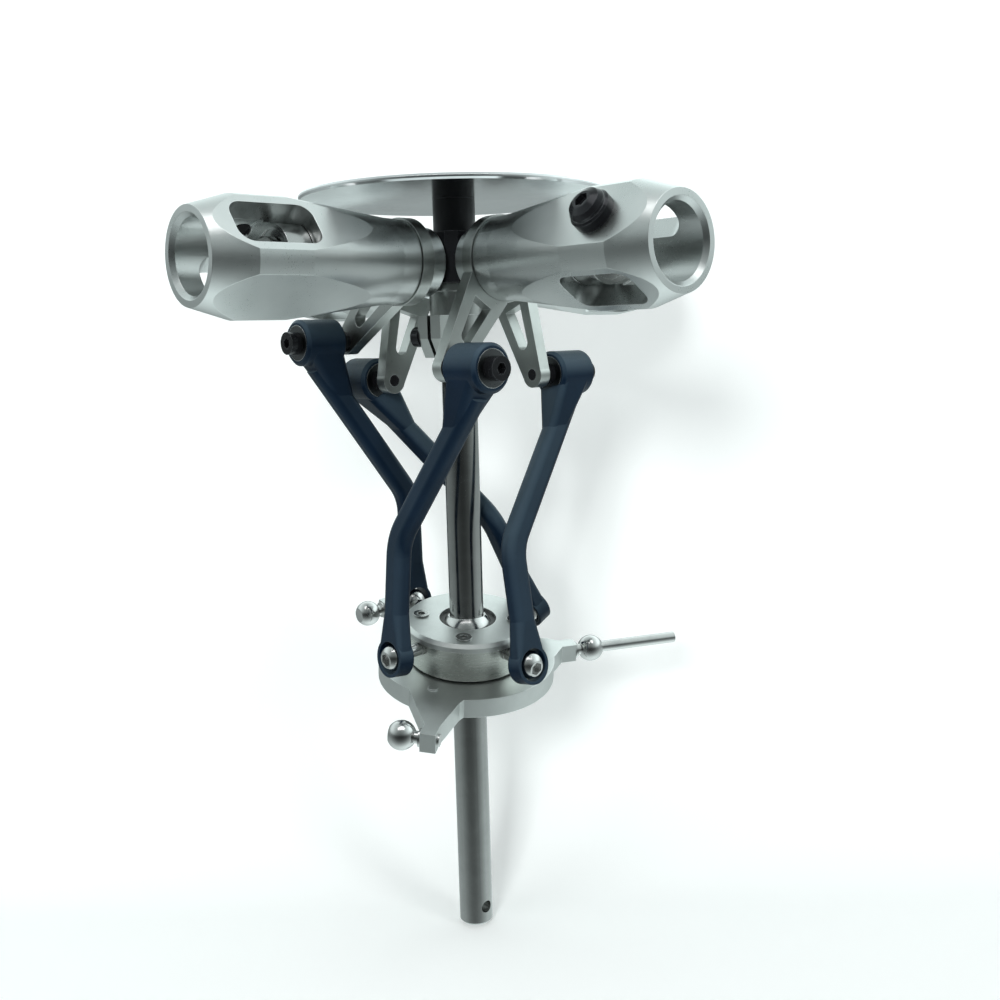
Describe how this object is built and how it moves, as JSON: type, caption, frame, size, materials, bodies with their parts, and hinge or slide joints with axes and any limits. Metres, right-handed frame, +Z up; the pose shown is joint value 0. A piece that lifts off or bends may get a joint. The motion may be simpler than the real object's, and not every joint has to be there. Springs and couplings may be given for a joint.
{
  "type": "helicopter swashplate",
  "caption": "Rotor head of a model helicopter: mast with a tilting swashplate, pitch links to bearing-held blade grips around a hub, and a thin disc on top.",
  "frame": {"origin": "centre of the mast at its foot", "axes": "+Z up along the mast, towards the hub; -Y towards the viewer, +X to the viewer's right"},
  "size_m": [0.0818, 0.0818, 0.1299],
  "materials": {
    "polished_steel": "polished",
    "satin_aluminium": "bead-blasted satin",
    "machined_aluminium": "machined",
    "bright_disc": "polished",
    "black_anodised": "satin anodised",
    "black_steel": "blackened",
    "bearing_steel": "ground",
    "link_plastic": "satin moulded",
    "ball_liner": "satin"
  },
  "bodies": {
    "mast": {"main_shaft": "polished_steel", "hub_block": "black_anodised", "top_post": "black_anodised", "top_disc": "bright_disc", "disc_screw": "bright_disc", "clamp_collar": "machined_aluminium", "clamp_screw": "black_steel", "spindle_1": "polished_steel", "spindle_2": "polished_steel", "spindle_3": "polished_steel", "spindle_4": "polished_steel"},
    "swash_ball": {"uniball": "polished_steel"},
    "inner_plate": {"uniball_race": "ball_liner", "swash_star": "machined_aluminium", "swash_top_plate": "satin_aluminium", "plate_screws": "black_steel", "link_ball_1": "polished_steel", "link_ball_2": "polished_steel", "link_ball_3": "polished_steel", "link_ball_4": "polished_steel"},
    "outer_ring": {"swash_bearing": "bearing_steel", "swash_outer_ring": "satin_aluminium", "servo_ball_front": "polished_steel", "servo_ball_rear": "polished_steel", "anti_rotation_pin": "polished_steel"},
    "grip_1": {"blade_grip_1": "satin_aluminium", "pitch_arm_1": "machined_aluminium", "pivot_screw_1": "black_steel", "grip_bolt_1": "black_steel", "thrust_bearing_1": "bearing_steel", "grip_bearings_1": "bearing_steel"},
    "link_1": {"pitch_link_1": "link_plastic", "link_bearing_1": "bearing_steel"},
    "grip_bearings_2": {"grip_bearings_2": "bearing_steel"},
    "grip_2": {"blade_grip_2": "satin_aluminium", "pitch_arm_2": "machined_aluminium", "pivot_screw_2": "black_steel", "grip_bolt_2": "black_steel", "thrust_bearing_2": "bearing_steel"},
    "link_bearings_2": {"link_bearing_2": "bearing_steel"},
    "link_2": {"pitch_link_2": "link_plastic"},
    "grip_3": {"blade_grip_3": "satin_aluminium", "pitch_arm_3": "machined_aluminium", "pivot_screw_3": "black_steel", "grip_bolt_3": "black_steel", "thrust_bearing_3": "bearing_steel", "grip_bearings_3": "bearing_steel"},
    "link_3": {"pitch_link_3": "link_plastic", "link_bearing_3": "bearing_steel"},
    "grip_bearings_4": {"grip_bearings_4": "bearing_steel"},
    "grip_4": {"blade_grip_4": "satin_aluminium", "pitch_arm_4": "machined_aluminium", "pivot_screw_4": "black_steel", "grip_bolt_4": "black_steel", "thrust_bearing_4": "bearing_steel"},
    "link_bearings_4": {"link_bearing_4": "bearing_steel"},
    "link_4": {"pitch_link_4": "link_plastic"}
  },
  "joints": [
    {"name": "collective", "type": "slide", "parent": "mast", "child": "swash_ball", "axis": [0, 0, 1], "range_m": [0, 0.0008]},
    {"name": "cyclic_tilt", "type": "hinge", "parent": "swash_ball", "child": "inner_plate", "pos_m": [0, 0, 0.05433], "axis": [-0.7457, -0.661, -0.0836], "range_deg": [0, 3]},
    {"name": "ring_spin", "type": "hinge", "parent": "inner_plate", "child": "outer_ring", "pos_m": [0, 0, 0.05433], "axis": [0.06, -0.1916, 0.9796], "continuous": true},
    {"name": "grip_pitch_1", "type": "hinge", "parent": "mast", "child": "grip_1", "pos_m": [0, 0, 0.1185], "axis": [0.6691, -0.7431, 0], "range_deg": [-5.28, 1]},
    {"name": "link_swing_1", "type": "hinge", "parent": "grip_1", "child": "link_1", "pos_m": [-0.00853, -0.00768, 0.10152], "axis": [0.6691, -0.7431, 0], "range_deg": [-1, 6.84]},
    {"name": "grip_collective_2", "type": "hinge", "parent": "mast", "child": "grip_bearings_2", "pos_m": [0, 0, 0.1185], "axis": [-0.7431, -0.6691, 0], "range_deg": [-3.79, 1]},
    {"name": "grip_cyclic_2", "type": "hinge", "parent": "grip_bearings_2", "child": "grip_2", "pos_m": [0, 0, 0.1185], "axis": [-0.7431, -0.6691, 0], "range_deg": [-1, 3.88]},
    {"name": "link_collective_2", "type": "hinge", "parent": "grip_2", "child": "link_bearings_2", "pos_m": [-0.01084, 0.01204, 0.10594], "axis": [-0.7431, -0.6691, 0], "range_deg": [-1, 4.67]},
    {"name": "link_cyclic_2", "type": "hinge", "parent": "link_bearings_2", "child": "link_2", "pos_m": [-0.01084, 0.01204, 0.10594], "axis": [-0.7431, -0.6691, 0], "range_deg": [-4.99, 1]},
    {"name": "grip_pitch_3", "type": "hinge", "parent": "mast", "child": "grip_3", "pos_m": [0, 0, 0.1185], "axis": [-0.6691, 0.7431, 0], "range_deg": [-1, 3.71]},
    {"name": "link_swing_3", "type": "hinge", "parent": "grip_3", "child": "link_3", "pos_m": [-0.00471, -0.00424, 0.099], "axis": [-0.6691, 0.7431, 0], "range_deg": [-4.96, 1]},
    {"name": "grip_collective_4", "type": "hinge", "parent": "mast", "child": "grip_bearings_4", "pos_m": [0, 0, 0.1185], "axis": [0.7431, 0.6691, 0], "range_deg": [-7.75, 1]},
    {"name": "grip_cyclic_4", "type": "hinge", "parent": "grip_bearings_4", "child": "grip_4", "pos_m": [0, 0, 0.1185], "axis": [0.7431, 0.6691, 0], "range_deg": [-7.81, 1]},
    {"name": "link_collective_4", "type": "hinge", "parent": "grip_4", "child": "link_bearings_4", "pos_m": [0.00509, -0.00565, 0.09946], "axis": [0.7431, 0.6691, 0], "range_deg": [-1, 11.29]},
    {"name": "link_cyclic_4", "type": "hinge", "parent": "link_bearings_4", "child": "link_4", "pos_m": [0.00509, -0.00565, 0.09946], "axis": [0.7431, 0.6691, 0], "range_deg": [-1, 11.25]}
  ],
  "couplings": [
    {"joint": "grip_pitch_1", "follows": "collective", "rad_per_m": -93.389},
    {"joint": "link_swing_1", "follows": "collective", "rad_per_m": 127.4},
    {"joint": "grip_collective_2", "follows": "collective", "rad_per_m": -60.827},
    {"joint": "grip_cyclic_2", "follows": "cyclic_tilt", "ratio": 0.96033},
    {"joint": "link_collective_2", "follows": "collective", "rad_per_m": 79.979},
    {"joint": "link_cyclic_2", "follows": "cyclic_tilt", "ratio": -1.3285},
    {"joint": "grip_pitch_3", "follows": "collective", "rad_per_m": 59.049},
    {"joint": "link_swing_3", "follows": "collective", "rad_per_m": -86.392},
    {"joint": "grip_collective_4", "follows": "collective", "rad_per_m": -147.25},
    {"joint": "grip_cyclic_4", "follows": "cyclic_tilt", "ratio": -2.2702},
    {"joint": "link_collective_4", "follows": "collective", "rad_per_m": 224.6},
    {"joint": "link_cyclic_4", "follows": "cyclic_tilt", "ratio": 3.4178}
  ]
}
